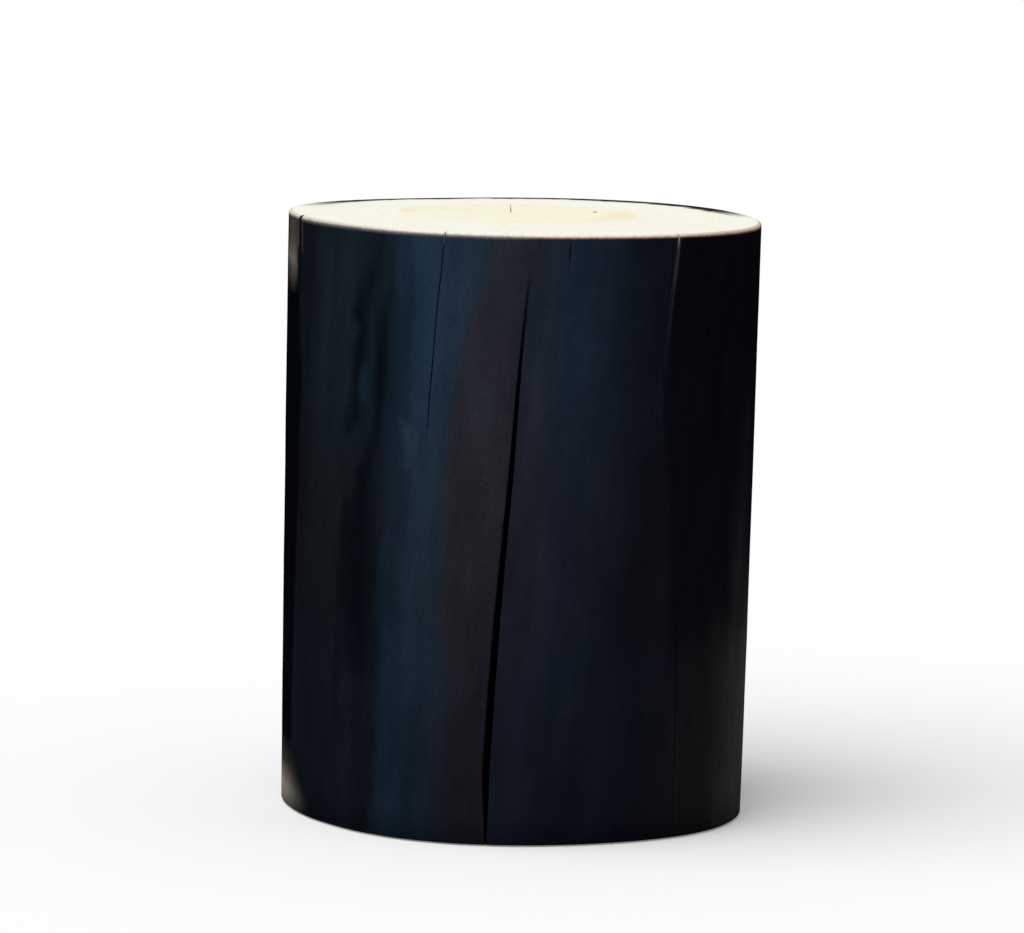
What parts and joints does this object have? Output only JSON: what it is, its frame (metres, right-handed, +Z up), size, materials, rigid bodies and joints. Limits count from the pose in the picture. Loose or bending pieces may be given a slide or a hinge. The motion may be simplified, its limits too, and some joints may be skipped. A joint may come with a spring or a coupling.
{
  "type": "log block stool",
  "caption": "Round block stool cut from one solid log, its side dyed indigo-black, its sawn top pale, with natural drying checks and felt glides under the base.",
  "frame": {"origin": "on the floor, under the middle of the plan outline's box", "axes": "+Z up out of the sawn top, -Y out of the side with the long drying check, +X to that side's right"},
  "size_m": [0.3333, 0.3367, 0.42],
  "materials": {
    "stained_timber": "peeled log, side dyed indigo-black and waxed to a low sheen, sawn ends left pale",
    "glide_plastic": "moulded dark brown, matte",
    "glide_felt": "pressed wool felt",
    "screw_zinc": "bright zinc plate"
  },
  "bodies": {
    "root": {"timber_block": "stained_timber", "glide_cup_front_right": "glide_plastic", "glide_cup_back_right": "glide_plastic", "glide_cup_back_left": "glide_plastic", "glide_cup_front_left": "glide_plastic", "glide_felt_front_right": "glide_felt", "glide_felt_back_right": "glide_felt", "glide_felt_back_left": "glide_felt", "glide_felt_front_left": "glide_felt", "glide_screws": "screw_zinc"}
  },
  "joints": []
}
